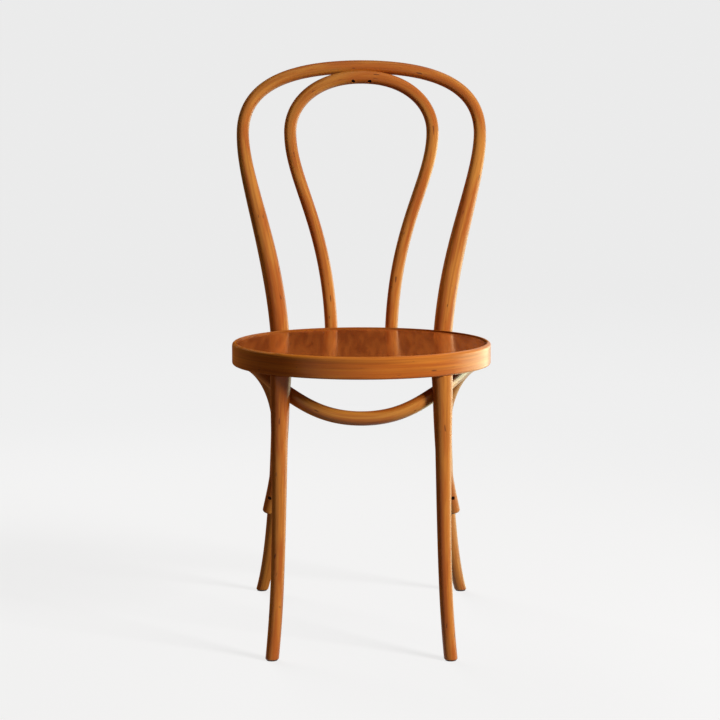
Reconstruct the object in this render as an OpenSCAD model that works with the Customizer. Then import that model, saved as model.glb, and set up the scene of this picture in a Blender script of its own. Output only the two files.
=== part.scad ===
// Bentwood cafe chair: two bent back hoops, a round seat ring with a pressed panel,
// two turned front legs and one continuous bent brace under the seat.
// Millimetres. The floor is at zero, the sitter faces -Y, and left and right are as seen from the front.

/* [Seat] */
// Height of the top of the seat ring above the floor
seat_h = 458; // [440:1:475]
// Outer diameter of the seat ring
ring_d = 406; // [396:1:418]
// Height of the ring's section
ring_h = 34; // [31:1:38]
// Width of the ring's section, from inside to outside
ring_w = 36; // [32:1:42]
// Rounding of the ring's upper outer edge
ring_top_round = 5; // [3:0.5:6]
// Rounding of the ring's lower edges
ring_low_round = 3; // [1:0.5:5]
// Width of the lip left outside the seat panel
lip_w = 6.5; // [6:0.25:8]
// Bevel of the lip's inner edge
lip_bevel = 0.8; // [0.3:0.1:1.2]
// Depth of the panel's face below the top of the lip
panel_drop = 2.5; // [1:0.5:4]
// Thickness of the pressed seat panel
panel_t = 6.5; // [5:0.5:8]
// Rounding of the panel's edge
panel_round = 1.2; // [0.5:0.1:2]

/* [Outer hoop and rear legs] */
// Height of the crown above the floor
back_h = 897.7; // [880:0.1:915]
// How far the crown's middle lies behind the middle of the seat
crown_back = 247; // [240:1:255]
// Diameter of both hoops at the crown
crown_d = 22; // [20:0.5:24]
// Width over the widest part of the outer hoop
hoop_w = 412; // [400:1:424]
// Height of the widest part of the outer hoop
hoop_wide_h = 778; // [765:1:790]
// How far the widest part lies behind the middle of the seat
hoop_wide_back = 222; // [216:1:228]
// Diameter of the outer hoop at its widest part
hoop_wide_d = 20.2; // [18:0.2:24]
// Angle of each upright round the ring, from straight back
upright_angle = 38.8; // [37:0.2:41]
// Diameter of the uprights beside the ring
upright_d = 31; // [28:0.5:34]
// Length of each upright that stays thick above the middle of the ring
upright_thick_l = 75; // [50:1:110]
// Depth of the notch in each upright that takes the ring
upright_notch = 5.5; // [4:0.25:7]
// How far each rear foot stands out from the middle
rear_foot_out = 170; // [160:1:180]
// How far each rear foot stands behind the middle of the seat
rear_foot_back = 250; // [242:1:258]
// Diameter of the rear feet
rear_foot_d = 19.6; // [18:0.2:22]
// Outward slope of the rear feet, in mm for each 100 mm of height
rear_flare_out = 29; // [20:1:34]
// Backward slope of the rear feet, in mm for each 100 mm of height
rear_flare_back = 26; // [20:1:32]

/* [Inner hoop] */
// Width over the widest part of the inner hoop
inner_w = 255.6; // [246:0.2:266]
// Height of the widest part of the inner hoop
inner_wide_h = 780; // [768:1:790]
// How far its widest part lies behind the middle of the seat
inner_wide_back = 226; // [222:1:230]
// Diameter of the inner hoop at its widest part
inner_wide_d = 20.2; // [18:0.2:22]
// Angle of each inner hoop end round the ring, from straight back
inner_angle = 13.6; // [12:0.2:15]
// Diameter of the inner hoop's ends
inner_end_d = 21.2; // [19:0.2:23]
// Depth of the notch in each inner hoop end that takes the ring
inner_notch = 2.4; // [1.5:0.1:3.5]
// Slope of the line that joins the hoops' middles at the crown, in degrees from level
crown_slope = 53; // [48:1:58]
// Depth of the saddle in the inner hoop's crown that takes the outer hoop
crown_saddle = 1.2; // [0.6:0.1:2]

/* [Front legs] */
// Angle of each front leg round the ring, from straight ahead
front_angle = 40.7; // [39:0.1:43]
// Distance of a front leg's axis in from the ring's outer face
front_inset = 16.5; // [16:0.25:18]
// Diameter of a front leg under the ring
front_top_d = 32; // [29:0.5:33]
// Length over which the top tapers to the shaft
front_taper_l = 113; // [90:1:140]
// Diameter of the shaft below that taper
front_shaft_d = 24.8; // [22:0.2:27]
// Height of the slimmest part, the ankle
ankle_h = 97; // [70:1:130]
// Diameter of the ankle and of the front foot
ankle_d = 20.4; // [19:0.2:22]
// How far each front foot stands out from the middle
front_foot_out = 134.5; // [126:0.5:142]
// How far each front foot stands ahead of the middle of the seat
front_foot_fwd = 209; // [200:1:218]
// Outward slope of the front feet, in mm for each 100 mm of height
front_flare_out = 10.4; // [6:0.2:14]
// Forward slope of the front feet, in mm for each 100 mm of height
front_flare_fwd = 27; // [22:1:31]
// Diameter of the tenon on top of each front leg
tenon_d = 20; // [16:0.5:22]
// Length of that tenon
tenon_l = 20; // [14:0.5:21]

/* [Brace] */
// Diameter of the bent brace
brace_d = 21.8; // [20:0.2:23]
// Diameter of its cut ends
brace_end_d = 20.8; // [19:0.2:22]
// How far the middle of the front dip lies below the ring
dip_drop = 65.7; // [56:0.5:79]
// How far the front dip lies ahead of the middle of the seat
dip_fwd = 150; // [142:1:158]
// How far below the ring the brace passes behind the front legs
crossing_drop = 33; // [28:0.5:38]
// Direction from leg to brace at that crossing, in degrees from straight back
crossing_turn = 35; // [31:1:39]
// Depth of the saddle that takes the front leg
crossing_saddle = 1.5; // [0.8:0.1:2.5]
// How far the shoulders under the ring stand out from the middle
shoulder_out = 178.3; // [177:0.1:180]
// How far the shoulders lie behind the middle of the seat
shoulder_back = 63.3; // [58:0.1:68]
// Depth of the flat on each shoulder, against the ring
shoulder_flat = 0.8; // [0.4:0.1:1.4]
// How far the screw through each rear end lies below the ring
rear_screw_drop = 251; // [239:1:264]
// Direction from rear leg to brace at that screw, in degrees from straight ahead
rear_turn = 18.5; // [14:0.5:24]
// Depth of the saddle that takes the rear leg
rear_saddle = 2.2; // [1:0.1:3]
// Length of each rear end past its screw
brace_tail_l = 28; // [22:1:34]
// Length of the bevel round each rear end
brace_bevel_l = 3.5; // [1:0.5:5]
// Depth of that bevel
brace_bevel_d = 2; // [0.5:0.5:4]

/* [Fasteners] */
// Diameter of the wood screws
screw_d = 3.5; // [3:0.1:4]
// Diameter of their countersunk heads
screw_head_d = 6.2; // [5.8:0.1:7]
// Depth of a screw head below the rod's surface
screw_sink = 0.8; // [0.4:0.1:1.5]
// Length of the crown screws
crown_screw_l = 35; // [33:0.5:36]
// Distance of each crown screw from the middle
crown_screw_out = 13.5; // [10:0.5:18]
// Slope of the crown screws, in degrees from level
crown_screw_slope = 49; // [46:1:54]
// Length of the screws in the inner hoop's ends
inner_screw_l = 32; // [28:1:36]
// Distance between the two screws in each end
inner_screw_step = 12; // [10:0.5:14]
// Length of the screws from the brace into the front legs
brace_front_screw_l = 33; // [30:1:36]
// Length of the screws from the brace into the rear legs
brace_rear_screw_l = 30; // [27:1:33]
// Length of the screws from the brace up into the ring
brace_ring_screw_l = 38; // [34:1:41]
// Length of the screws that lock the tenons
lock_screw_l = 19; // [16:0.5:22]
// Diameter of the bolts through the uprights
bolt_d = 6; // [5:0.5:8]
// Diameter of their round heads
bolt_head_d = 14; // [12:0.5:16]
// Height of their round heads
bolt_head_h = 3.6; // [3:0.2:5]
// Depth of the flat under each bolt head
bolt_flat = 2; // [1.6:0.1:3]
// Outer diameter of the washers
washer_d = 16; // [14:0.5:18]
// Thickness of the washers
washer_t = 1.4; // [1:0.1:2]
// Depth of the flat in the ring under each washer
washer_flat = 1; // [0.5:0.1:1.5]
// Width of the nuts over their corners
nut_d = 11.4; // [10.5:0.1:13]
// Height of the nuts
nut_h = 5; // [4:0.5:6.5]

/* [Glides] */
// Diameter of the plastic glides
glide_d = 17; // [15:0.5:18]
// Thickness of the glides
glide_h = 2; // [1.6:0.2:4]
// Bevel round the glides' lower edge
glide_bevel = 0.6; // [0.3:0.1:1]
// Diameter of the glide nails
nail_d = 2.4; // [2:0.1:3]
// Diameter of the nail heads
nail_head_d = 6; // [5:0.2:8]
// Length of the glide nails
nail_l = 18; // [12:1:24]

/* [Clearances] */
// Clearance at cut joints and round the panel
fit_gap = 0.15; // [0.1:0.05:0.3]
// Clearance round a screw in the piece that it grips
grip_gap = 0.05; // [0.03:0.01:0.1]
// Clearance round a screw, bolt or nail in the piece that it passes through
pass_gap = 0.2; // [0.1:0.05:0.4]

/* [Hidden] */
$fn = 48;

OAK_BROWN = [0.68, 0.40, 0.18];
LIGHT_BROWN = [0.74, 0.46, 0.22];
SEAT_BROWN = [0.50, 0.27, 0.13];
STEEL = [0.70, 0.70, 0.72];
DARK_STEEL = [0.16, 0.14, 0.13];
PLASTIC = [0.20, 0.15, 0.11];

// Sides of a rod's section, and rings along each stretch between two stations of its middle line
HOOP_SIDES = 24;
ROD_SIDES = 20;
OUTER_STEPS = [12, 14, 15];
INNER_STEPS = [13, 15];
LEG_STEPS = [15];
BRACE_STEPS = [10, 10, 16];
// How far a cutter runs past what it cuts
PAST = 12;

ring_r = ring_d / 2;
ring_in_r = ring_r - ring_w;
ring_under_h = seat_h - ring_h;
rebate_r = ring_r - lip_w;
panel_r = rebate_r - fit_gap;
panel_under_h = seat_h - panel_drop - panel_t;
// Middle height of the solid part of the ring, below the panel
ledge_h = (ring_under_h + panel_under_h) / 2;
ring_mid_h = seat_h - ring_h / 2;

// Shift that brings the middle of the plan box to the origin
seat_y = -(rear_foot_back + rear_foot_d / 2 - front_foot_fwd - ankle_d / 2) / 2;

upright_r = ring_r + upright_d / 2 - upright_notch;
inner_r = ring_r + inner_end_d / 2 - inner_notch;
front_r = ring_r - front_inset;
crown_h = back_h - crown_d / 2;
crown_place = [0, crown_back, crown_h];
crown_apart = crown_d - crown_saddle;
crown_line = [0, cos(crown_slope), sin(crown_slope)];
inner_crown_place = crown_place - crown_apart * crown_line;

function unit(v) = v / norm(v);
// Point at an angle round the seat's middle, where zero is straight back and positive is to the right
function around(r, angle, h) = [r * sin(angle), r * cos(angle), h];
function mirror_x(v) = [-v.x, v.y, v.z];

// Point on the cubic curve of four control points
function curve_at(c, t) = let (u = 1 - t)
    u * u * u * c[0] + 3 * u * u * t * c[1] + 3 * u * t * t * c[2] + t * t * t * c[3];
// A station is [place, direction, pull before it, pull after it]. The pulls set how full the curve is.
function controls(a, b) =
    [a[0], a[0] + a[3] * unit(a[1]), b[0] - b[2] * unit(b[1]), b[0]];
function stretch(a, b, steps) =
    let (c = controls(a, b)) [for (i = [0:steps - 1]) curve_at(c, i / steps)];
function route(stations, steps) =
    [for (k = [0:len(stations) - 2]) each stretch(stations[k], stations[k + 1], steps[k]),
        stations[len(stations) - 1][0]];
// Adds the other half of a path whose last point is on the middle plane
function both_halves(half) =
    [for (p = half) p, for (i = [len(half) - 2:-1:0]) mirror_x(half[i])];
// A straight run past either end of a path
function run_on(path, before, after) =
    let (n = len(path) - 1, d0 = unit(path[0] - path[1]), d1 = unit(path[n] - path[n - 1]))
    [if (before > 0) path[0] + before * d0, for (p = path) p,
        if (after > 0) path[n] + after * d1];
// Point of a rod's middle line at a height, where the line only rises or only falls
function at_height(path, h) =
    [lookup(h, [for (p = path) [p.z, p.x]]), lookup(h, [for (p = path) [p.z, p.y]]), h];

// Outer hoop: foot, ring, widest part and crown
outer_stations = [
    [[rear_foot_out, rear_foot_back, 0], [-rear_flare_out, -rear_flare_back, 100], 0, 117],
    [around(upright_r, upright_angle, ring_mid_h), [0.064, 0.04, 1], 60, 155],
    [[hoop_w / 2 - hoop_wide_d / 2, hoop_wide_back, hoop_wide_h], [0, 0.21, 1], 79, 86],
    [crown_place, [-1, 0, 0], 110, 0]
];
outer_half = route(outer_stations, OUTER_STEPS);
rear_leg_line = [for (i = [0:OUTER_STEPS[0]]) outer_half[i]];
crown_bow = [for (i = [len(outer_half) - 5:len(outer_half) - 1]) outer_half[i]];
function outer_radius(p) = p.z < hoop_wide_h
    ? lookup(p.z, [[0, rear_foot_d / 2], [ring_under_h - PAST, upright_d / 2],
        [ring_mid_h + upright_thick_l, upright_d / 2], [hoop_wide_h, hoop_wide_d / 2]])
    : lookup(abs(p.x), [[0, crown_d / 2], [hoop_w / 2, hoop_wide_d / 2]]);

// Inner hoop: end, widest part and crown
inner_stations = [
    [around(inner_r, inner_angle, ring_mid_h), [0.02, 0.03, 1], 0, 188],
    [[inner_w / 2 - inner_wide_d / 2, inner_wide_back, inner_wide_h], [0, 0.085, 1], 84, 49],
    [inner_crown_place, [-1, 0, 0], 73, 0]
];
inner_half = route(inner_stations, INNER_STEPS);
function inner_radius(p) = p.z < inner_wide_h
    ? lookup(p.z, [[ring_mid_h, inner_end_d / 2], [inner_wide_h, inner_wide_d / 2]])
    : lookup(abs(p.x), [[0, crown_d / 2], [inner_w / 2, inner_wide_d / 2]]);

// Front leg: shoulder under the ring and foot
front_top = around(-front_r, -front_angle, ring_under_h);
front_stations = [
    [front_top, [4.1, -11.5, -100], 0, 123],
    [[front_foot_out, -front_foot_fwd, 0], [front_flare_out, -front_flare_fwd, -100], 146, 0]
];
front_line = route(front_stations, LEG_STEPS);
function front_radius(p) = lookup(p.z, [[0, ankle_d / 2], [ankle_h, ankle_d / 2],
    [ring_under_h - front_taper_l, front_shaft_d / 2], [ring_under_h, front_top_d / 2]]);

// Brace: front dip, crossing behind the front leg, shoulder under the ring and rear screw
dip_h = ring_under_h - dip_drop;
crossing_h = ring_under_h - crossing_drop;
rear_screw_h = ring_under_h - rear_screw_drop;
crossing_leg = at_height(front_line, crossing_h);
crossing_apart = front_radius(crossing_leg) + brace_d / 2 - crossing_saddle;
crossing_place = crossing_leg + crossing_apart * [-sin(crossing_turn), cos(crossing_turn), 0];
shoulder_place = [shoulder_out, shoulder_back, ring_under_h - brace_d / 2 + shoulder_flat];
rear_screw_leg = at_height(rear_leg_line, rear_screw_h);
rear_apart = outer_radius(rear_screw_leg) + brace_end_d / 2 - rear_saddle;
rear_screw_place = rear_screw_leg + rear_apart * [sin(rear_turn), -cos(rear_turn), 0];
brace_stations = [
    [[0, -dip_fwd, dip_h], [1, 0, 0], 0, 54],
    [crossing_place, [0.848, 0.53, 0.468], 31.8, 29.1],
    [shoulder_place, [0.44, 0.898, 0], 17.6, 46],
    [rear_screw_place, [0.225, 0.229, -1], 229, 0]
];
brace_tail = run_on(route(brace_stations, BRACE_STEPS), 0, brace_tail_l - brace_bevel_l);
brace_half = run_on(brace_tail, 0, brace_bevel_l);
brace_n = len(brace_half);
brace_path = [for (i = [brace_n - 1:-1:1]) mirror_x(brace_half[i]), for (p = brace_half) p];
function brace_radius(p) =
    lookup(p.z, [[rear_screw_h, brace_end_d / 2], [dip_h, brace_d / 2]])
    - (p.z == brace_half[brace_n - 1].z ? brace_bevel_d : 0);

// Directions along a path, and a square direction carried along it without twist
function directions(path) = let (n = len(path) - 1)
    [for (i = [0:n]) unit(path[min(i + 1, n)] - path[max(i - 1, 0)])];
function carried(dirs, side, i) = i == len(dirs) ? [] :
    let (s = unit(side - (side * dirs[i]) * dirs[i])) concat([s], carried(dirs, s, i + 1));

// Round rod along a path, with a radius for each point
module rod(path, radii, sides) {
    dirs = directions(path);
    lefts = carried(dirs, [0, 1, 0.3], 0);
    points = [for (i = [0:len(path) - 1]) for (j = [0:sides - 1]) let (a = 360 * j / sides)
        path[i] + radii[i] * (cos(a) * lefts[i] + sin(a) * cross(dirs[i], lefts[i]))];
    walls = [for (i = [0:len(path) - 2]) for (j = [0:sides - 1])
        let (a = i * sides + j, b = i * sides + (j + 1) % sides)
        each [[a, b + sides, b], [a, a + sides, b + sides]]];
    last = (len(path) - 1) * sides;
    ends = [[for (j = [0:sides - 1]) j], [for (j = [sides - 1:-1:0]) last + j]];
    polyhedron(points, concat(walls, ends));
}

// Turns the children's Z axis to a direction and moves them to a place
module aim(place, dir) {
    d = unit(dir);
    translate(place) rotate([0, acos(d.z), atan2(d.y, d.x)]) children();
}

// The children and their mirror image
module pair() {
    children();
    mirror([1, 0, 0]) children();
}

module below(h) translate([-ring_d, -ring_d, h - ring_d]) cube([2 * ring_d, 2 * ring_d, ring_d]);
module above(h) translate([-ring_d, -ring_d, h]) cube([2 * ring_d, 2 * ring_d, ring_d]);

// Section of the ring before the rebate, grown by a clearance
module ring_section(grow) {
    low = ring_low_round;
    top = ring_top_round;
    x0 = ring_in_r - grow;
    x1 = ring_r + grow;
    y0 = ring_under_h - grow;
    y1 = seat_h + grow;
    translate([x0, y0 + low]) square([x1 - x0, y1 - top - y0 - low]);
    translate([x0 + low, y0]) square([x1 - x0 - 2 * low, low + 1]);
    translate([x0, y1 - top - 1]) square([x1 - x0 - top, top + 1]);
    for (x = [x0 + low, x1 - low]) translate([x, y0 + low]) circle(r = low);
    translate([x1 - top, y1 - top]) circle(r = top);
}

// Cone that stands for a leg between two heights, grown by a clearance
module leg_cone(line, r0, r1, h0, h1) {
    a = at_height(line, h0);
    b = at_height(line, h1);
    aim(a, b - a) cylinder(h = norm(b - a), r1 = r0 + fit_gap, r2 = r1 + fit_gap);
}

// Countersunk screw whose head's face is at the origin, pointing up
module wood_screw(l) {
    rim = 0.4;
    cone_h = (screw_head_d - screw_d) / 2;
    difference() {
        rotate_extrude() polygon([[0, 0], [screw_head_d / 2, 0], [screw_head_d / 2, rim],
            [screw_d / 2, rim + cone_h], [screw_d / 2, l - screw_d], [0, l]]);
        translate([-0.5, -screw_head_d, -1]) cube([1, 2 * screw_head_d, 2]);
    }
}

// Hole that passes such a screw over a length, with the mouth of its countersink open
module pass_hole(l) {
    r = screw_d / 2 + pass_gap;
    head_r = screw_head_d / 2 + pass_gap;
    sink = 0.6;
    rotate_extrude() polygon([[0, -PAST], [head_r, -PAST], [head_r, sink],
        [r, sink + head_r - r], [r, l], [0, l]]);
}

// Pilot hole that such a screw grips in
module grip_hole(l) translate([0, 0, -PAST]) cylinder(h = l + PAST + 0.5, r = screw_d / 2 + grip_gap);

// Each axis below is [place of the head's face, direction of the screw]
crown_screw_dir = [0, cos(crown_screw_slope), sin(crown_screw_slope)];
// The screw aims at the outer crown's middle, so it leaves the inner crown's middle to one side
crown_screw_off = crown_apart * sin(crown_slope - crown_screw_slope);
crown_screw_reach = crown_apart * cos(crown_slope - crown_screw_slope)
    + sqrt(pow(crown_d / 2, 2) - pow(crown_screw_off, 2)) - screw_sink;
crown_axis = [crown_place + [crown_screw_out, 0, 0] - crown_screw_reach * crown_screw_dir,
    crown_screw_dir];
crossing_dir = unit(crossing_leg - crossing_place);
crossing_axis = [crossing_place - (brace_d / 2 - screw_sink) * crossing_dir, crossing_dir];
rear_dir = unit(rear_screw_leg - rear_screw_place);
rear_axis = [rear_screw_place - (brace_end_d / 2 - screw_sink) * rear_dir, rear_dir];
shoulder_axis = [shoulder_place - [0, 0, brace_d / 2 - screw_sink], [0, 0, 1]];
lock_axis = [around(-(ring_in_r + screw_sink), -front_angle, ring_under_h + tenon_l / 2),
    around(-1, -front_angle, 0)];
inner_axes = [for (k = [-1, 1])
    [around(inner_r + inner_end_d / 2 - screw_sink, inner_angle, ledge_h + k * inner_screw_step / 2),
        around(-1, inner_angle, 0)]];
// Bolt axes are [middle of the flat under the head, direction to the seat's middle]
bolt_axis = [around(upright_r + upright_d / 2 - bolt_flat, upright_angle, ledge_h),
    around(-1, upright_angle, 0)];
// Distance from that flat to the flat under the washer
bolt_grip = upright_r + upright_d / 2 - bolt_flat - (ring_in_r + washer_flat);

module placed() translate([0, seat_y, 0]) children();

module outer_hoop() placed() color(OAK_BROWN) difference() {
    half = run_on(outer_half, PAST, 0);
    path = both_halves(half);
    rod(path, [for (p = path) outer_radius(p)], HOOP_SIDES);
    below(glide_h);
    rotate_extrude($fn = 96) ring_section(fit_gap);
    pair() {
        aim(bolt_axis[0], bolt_axis[1]) bolt_bore();
        aim(crown_axis[0], crown_axis[1]) grip_hole(crown_screw_l);
        aim(rear_axis[0], rear_axis[1]) grip_hole(brace_rear_screw_l);
        nail_hole(rear_leg_line);
    }
}

module inner_hoop() placed() color(OAK_BROWN) difference() {
    half = run_on(inner_half, ring_h, 0);
    path = both_halves(half);
    rod(path, [for (p = path) inner_radius(p)], ROD_SIDES);
    below(ring_under_h);
    rotate_extrude($fn = 96) ring_section(fit_gap);
    crown_path = both_halves(crown_bow);
    rod(crown_path, [for (p = crown_path) outer_radius(p) + fit_gap], HOOP_SIDES);
    pair() {
        aim(crown_axis[0], crown_axis[1]) pass_hole(crown_screw_l);
        for (a = inner_axes) aim(a[0], a[1]) pass_hole(inner_screw_l);
    }
}

module seat_ring() placed() color(LIGHT_BROWN) difference() {
    rotate_extrude($fn = 96) difference() {
        ring_section(0);
        translate([0, panel_under_h]) square([rebate_r, seat_h]);
        polygon([[rebate_r - 1, seat_h + 1], [rebate_r + lip_bevel + 1, seat_h + 1],
            [rebate_r - 1, seat_h - lip_bevel - 1]]);
    }
    pair() {
        translate(front_top - [0, 0, PAST])
            cylinder(h = tenon_l + PAST + 1, d = tenon_d + 2 * fit_gap);
        aim(lock_axis[0], lock_axis[1]) pass_hole(front_inset);
        aim(bolt_axis[0], bolt_axis[1]) bolt_bore();
        for (a = inner_axes) aim(a[0], a[1]) grip_hole(inner_screw_l);
        aim(shoulder_axis[0], shoulder_axis[1]) grip_hole(brace_ring_screw_l);
    }
}

// Bore for a bolt, with the flats that its head and its washer sit on
module bolt_bore() {
    cylinder(h = bolt_grip + PAST, d = bolt_d + 2 * pass_gap);
    translate([0, 0, -PAST]) cylinder(h = PAST, d = bolt_head_d + 2);
    translate([0, 0, bolt_grip]) cylinder(h = PAST, d = washer_d + 2);
}

module seat_panel() placed() color(SEAT_BROWN) rotate_extrude($fn = 96) {
    r = panel_round;
    top = seat_h - panel_drop;
    translate([0, panel_under_h]) square([panel_r - r, panel_t]);
    translate([0, panel_under_h]) square([panel_r, panel_t - r]);
    translate([panel_r - r, top - r]) circle(r = r);
}

module front_leg() difference() {
    union() {
        difference() {
            path = run_on(front_line, PAST, PAST);
            rod(path, [for (p = path) front_radius(p)], HOOP_SIDES);
            above(ring_under_h);
            below(glide_h);
        }
        translate(front_top - [0, 0, PAST]) cylinder(h = tenon_l + PAST, d = tenon_d);
    }
    nail_hole(front_line);
    aim(crossing_axis[0], crossing_axis[1]) grip_hole(brace_front_screw_l);
    aim(lock_axis[0], lock_axis[1]) grip_hole(lock_screw_l);
}
module front_leg_left() placed() color(LIGHT_BROWN) mirror([1, 0, 0]) front_leg();
module front_leg_right() placed() color(LIGHT_BROWN) front_leg();

module leg_brace() placed() color(OAK_BROWN) difference() {
    rod(brace_path, [for (p = brace_path) brace_radius(p)], ROD_SIDES);
    above(ring_under_h);
    pair() {
        front_h0 = crossing_h - brace_d - PAST;
        leg_cone(front_line, front_radius([0, 0, front_h0]), front_top_d / 2, front_h0, ring_under_h);
        rear_h0 = rear_screw_h - brace_tail_l - PAST;
        rear_h1 = rear_screw_h + 2.5 * brace_tail_l;
        leg_cone(rear_leg_line, outer_radius([0, 0, rear_h0]), outer_radius([0, 0, rear_h1]),
            rear_h0, rear_h1);
        aim(crossing_axis[0], crossing_axis[1]) pass_hole(brace_front_screw_l);
        aim(rear_axis[0], rear_axis[1]) pass_hole(brace_rear_screw_l);
        aim(shoulder_axis[0], shoulder_axis[1]) pass_hole(brace_ring_screw_l);
    }
}

module screws_at(axes, l) placed() color(DARK_STEEL)
    pair() for (a = axes) aim(a[0], a[1]) wood_screw(l);

module crown_screws() screws_at([crown_axis], crown_screw_l);
module inner_hoop_screws() screws_at(inner_axes, inner_screw_l);
module leg_lock_screws() screws_at([lock_axis], lock_screw_l);
module brace_front_screws() screws_at([crossing_axis], brace_front_screw_l);
module brace_ring_screws() screws_at([shoulder_axis], brace_ring_screw_l);
module brace_rear_screws() screws_at([rear_axis], brace_rear_screw_l);

// Bolt with a round head: the head's flat is at the origin and the shank points up
module rear_leg_bolts() placed() color(STEEL) pair() aim(bolt_axis[0], bolt_axis[1]) {
    shank_l = bolt_grip + washer_t + nut_h + 1.5;
    dome_r = (pow(bolt_head_d / 2, 2) + pow(bolt_head_h, 2)) / (2 * bolt_head_h);
    cylinder(h = shank_l, d = bolt_d);
    intersection() {
        translate([0, 0, dome_r - bolt_head_h]) sphere(r = dome_r);
        translate([0, 0, -2 * bolt_head_h]) cylinder(h = 2 * bolt_head_h, d = bolt_head_d);
    }
}

module rear_leg_washers() placed() color(STEEL) pair() aim(bolt_axis[0], bolt_axis[1])
    translate([0, 0, bolt_grip]) difference() {
        cylinder(h = washer_t, d = washer_d);
        translate([0, 0, -1]) cylinder(h = washer_t + 2, d = bolt_d + 2 * pass_gap);
    }

module rear_leg_nuts() placed() color(STEEL) pair() aim(bolt_axis[0], bolt_axis[1])
    translate([0, 0, bolt_grip + washer_t]) difference() {
        cylinder(h = nut_h, d = nut_d, $fn = 6);
        translate([0, 0, -1]) cylinder(h = nut_h + 2, d = bolt_d + 2 * grip_gap);
    }

// A nail stands in the middle of a foot, with its head let into the glide from below
nail_head_h = 0.6;
nail_up = (glide_h - nail_head_h) / 2;
module nail_hole(line) translate([at_height(line, glide_h).x, at_height(line, glide_h).y, 0])
    cylinder(h = nail_up + nail_l + 0.5, d = nail_d + 2 * grip_gap);

module glide(line) translate([at_height(line, glide_h).x, at_height(line, glide_h).y, 0])
    difference() {
        rotate_extrude() polygon([[0, 0], [glide_d / 2 - glide_bevel, 0],
            [glide_d / 2, glide_bevel], [glide_d / 2, glide_h], [0, glide_h]]);
        translate([0, 0, -1]) cylinder(h = glide_h + 2, d = nail_d + 2 * pass_gap);
        translate([0, 0, -1]) cylinder(h = nail_up + nail_head_h + 1, d = nail_head_d + 2 * pass_gap);
    }

module glide_front_left() placed() color(PLASTIC) mirror([1, 0, 0]) glide(front_line);
module glide_front_right() placed() color(PLASTIC) glide(front_line);
module glide_rear_left() placed() color(PLASTIC) mirror([1, 0, 0]) glide(rear_leg_line);
module glide_rear_right() placed() color(PLASTIC) glide(rear_leg_line);

module glide_nails() placed() color(STEEL) pair() for (line = [front_line, rear_leg_line])
    translate([at_height(line, glide_h).x, at_height(line, glide_h).y, nail_up])
        rotate_extrude() polygon([[0, 0], [nail_head_d / 2, 0], [nail_head_d / 2, nail_head_h],
            [nail_d / 2, nail_head_h], [nail_d / 2, nail_l - nail_d], [0, nail_l]]);

outer_hoop();
inner_hoop();
seat_ring();
seat_panel();
front_leg_left();
front_leg_right();
leg_brace();
crown_screws();
inner_hoop_screws();
rear_leg_bolts();
rear_leg_washers();
rear_leg_nuts();
leg_lock_screws();
brace_front_screws();
brace_ring_screws();
brace_rear_screws();
glide_front_left();
glide_front_right();
glide_rear_left();
glide_rear_right();
glide_nails();
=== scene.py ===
import math

import bmesh
import bpy
import numpy as np
from mathutils import Matrix, Vector


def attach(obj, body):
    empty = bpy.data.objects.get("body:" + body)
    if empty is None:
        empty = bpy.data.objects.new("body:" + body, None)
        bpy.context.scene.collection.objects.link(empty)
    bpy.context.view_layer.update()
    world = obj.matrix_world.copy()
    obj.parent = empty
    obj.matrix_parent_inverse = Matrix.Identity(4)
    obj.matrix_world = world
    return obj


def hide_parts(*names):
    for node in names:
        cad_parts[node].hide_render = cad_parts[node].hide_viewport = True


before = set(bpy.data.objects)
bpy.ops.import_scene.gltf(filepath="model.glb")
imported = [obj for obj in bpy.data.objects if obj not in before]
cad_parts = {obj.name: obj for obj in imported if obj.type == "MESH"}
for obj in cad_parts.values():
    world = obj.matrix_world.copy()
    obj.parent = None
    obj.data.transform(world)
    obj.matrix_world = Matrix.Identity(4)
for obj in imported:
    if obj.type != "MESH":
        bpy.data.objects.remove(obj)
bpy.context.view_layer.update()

# Sizes in metres and angles in degrees, in the frame of the solids
# All places below are measured from the seat's middle, which lies a little ahead of the origin
SEAT = np.array([0.0, -0.0203, 0.0])
FLOOR_GAP = 0.002
FIT = 0.00015

# Seat ring and seat panel
RING_R, RING_IN_R = 0.203, 0.167
RING_TOP, RING_LOW, RING_LEDGE = 0.458, 0.424, 0.449
LIP_R = 0.1965
LOW_EDGE, TOP_EDGE, LIP_EDGE, STEP_EDGE, LEDGE_EDGE = 0.003, 0.005, 0.0009, 0.0002, 0.0006
PANEL_R, PANEL_TOP, PANEL_EDGE = 0.19635, 0.4555, 0.0012

# Where the rods meet the ring: angles from the back for the hoops, from the front for the legs
OUTER_AT, INNER_AT, LEG_AT = 38.8, 13.6, 40.7
OUTER_REACH, INNER_REACH, LEG_REACH = 0.213, 0.2112, 0.1865
RING_MIDDLE, BOLT_LEVEL = 0.441, 0.4365

# Crown of the hoops, which leans back
OUTER_WIDEST, INNER_WIDEST = 0.778, 0.780
CROWN_OUT = np.array([0.0, 0.247, 0.8867])
CROWN_SLOPE, CROWN_APART, CROWN_BOW = 53, 0.0208, 0.085

# Brace: its radii, and where it meets the front and rear legs the height, the leg's radius and the saddle
BRACE_R, BRACE_END_R = 0.0109, 0.0104
BRACE_LOW = 0.3583
LEG_CROSS, LEG_CROSS_R, LEG_SADDLE, LEG_TURN = 0.391, 0.01495, 0.0015, 35
REAR_CROSS, REAR_CROSS_R, REAR_SADDLE, REAR_TURN = 0.173, 0.0122, 0.0022, 18.5
LEG_SADDLE_LOW, REAR_SADDLE_LOW, REAR_SADDLE_TOP = 0.357, 0.125, 0.245
SHOULDER_FLAT = 0.0008

# Straight ends of the brace and of the inner hoop
BRACE_TAIL, INNER_TAIL = 0.028, 0.0171

# Soft rims at the ends of the rods, and the run over which an end turns level with the floor
HOOP_RIM, LEG_RIM, BRACE_RIM = 0.0014, 0.0012, 0.0036
LEVEL_RUN = 0.03

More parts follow.
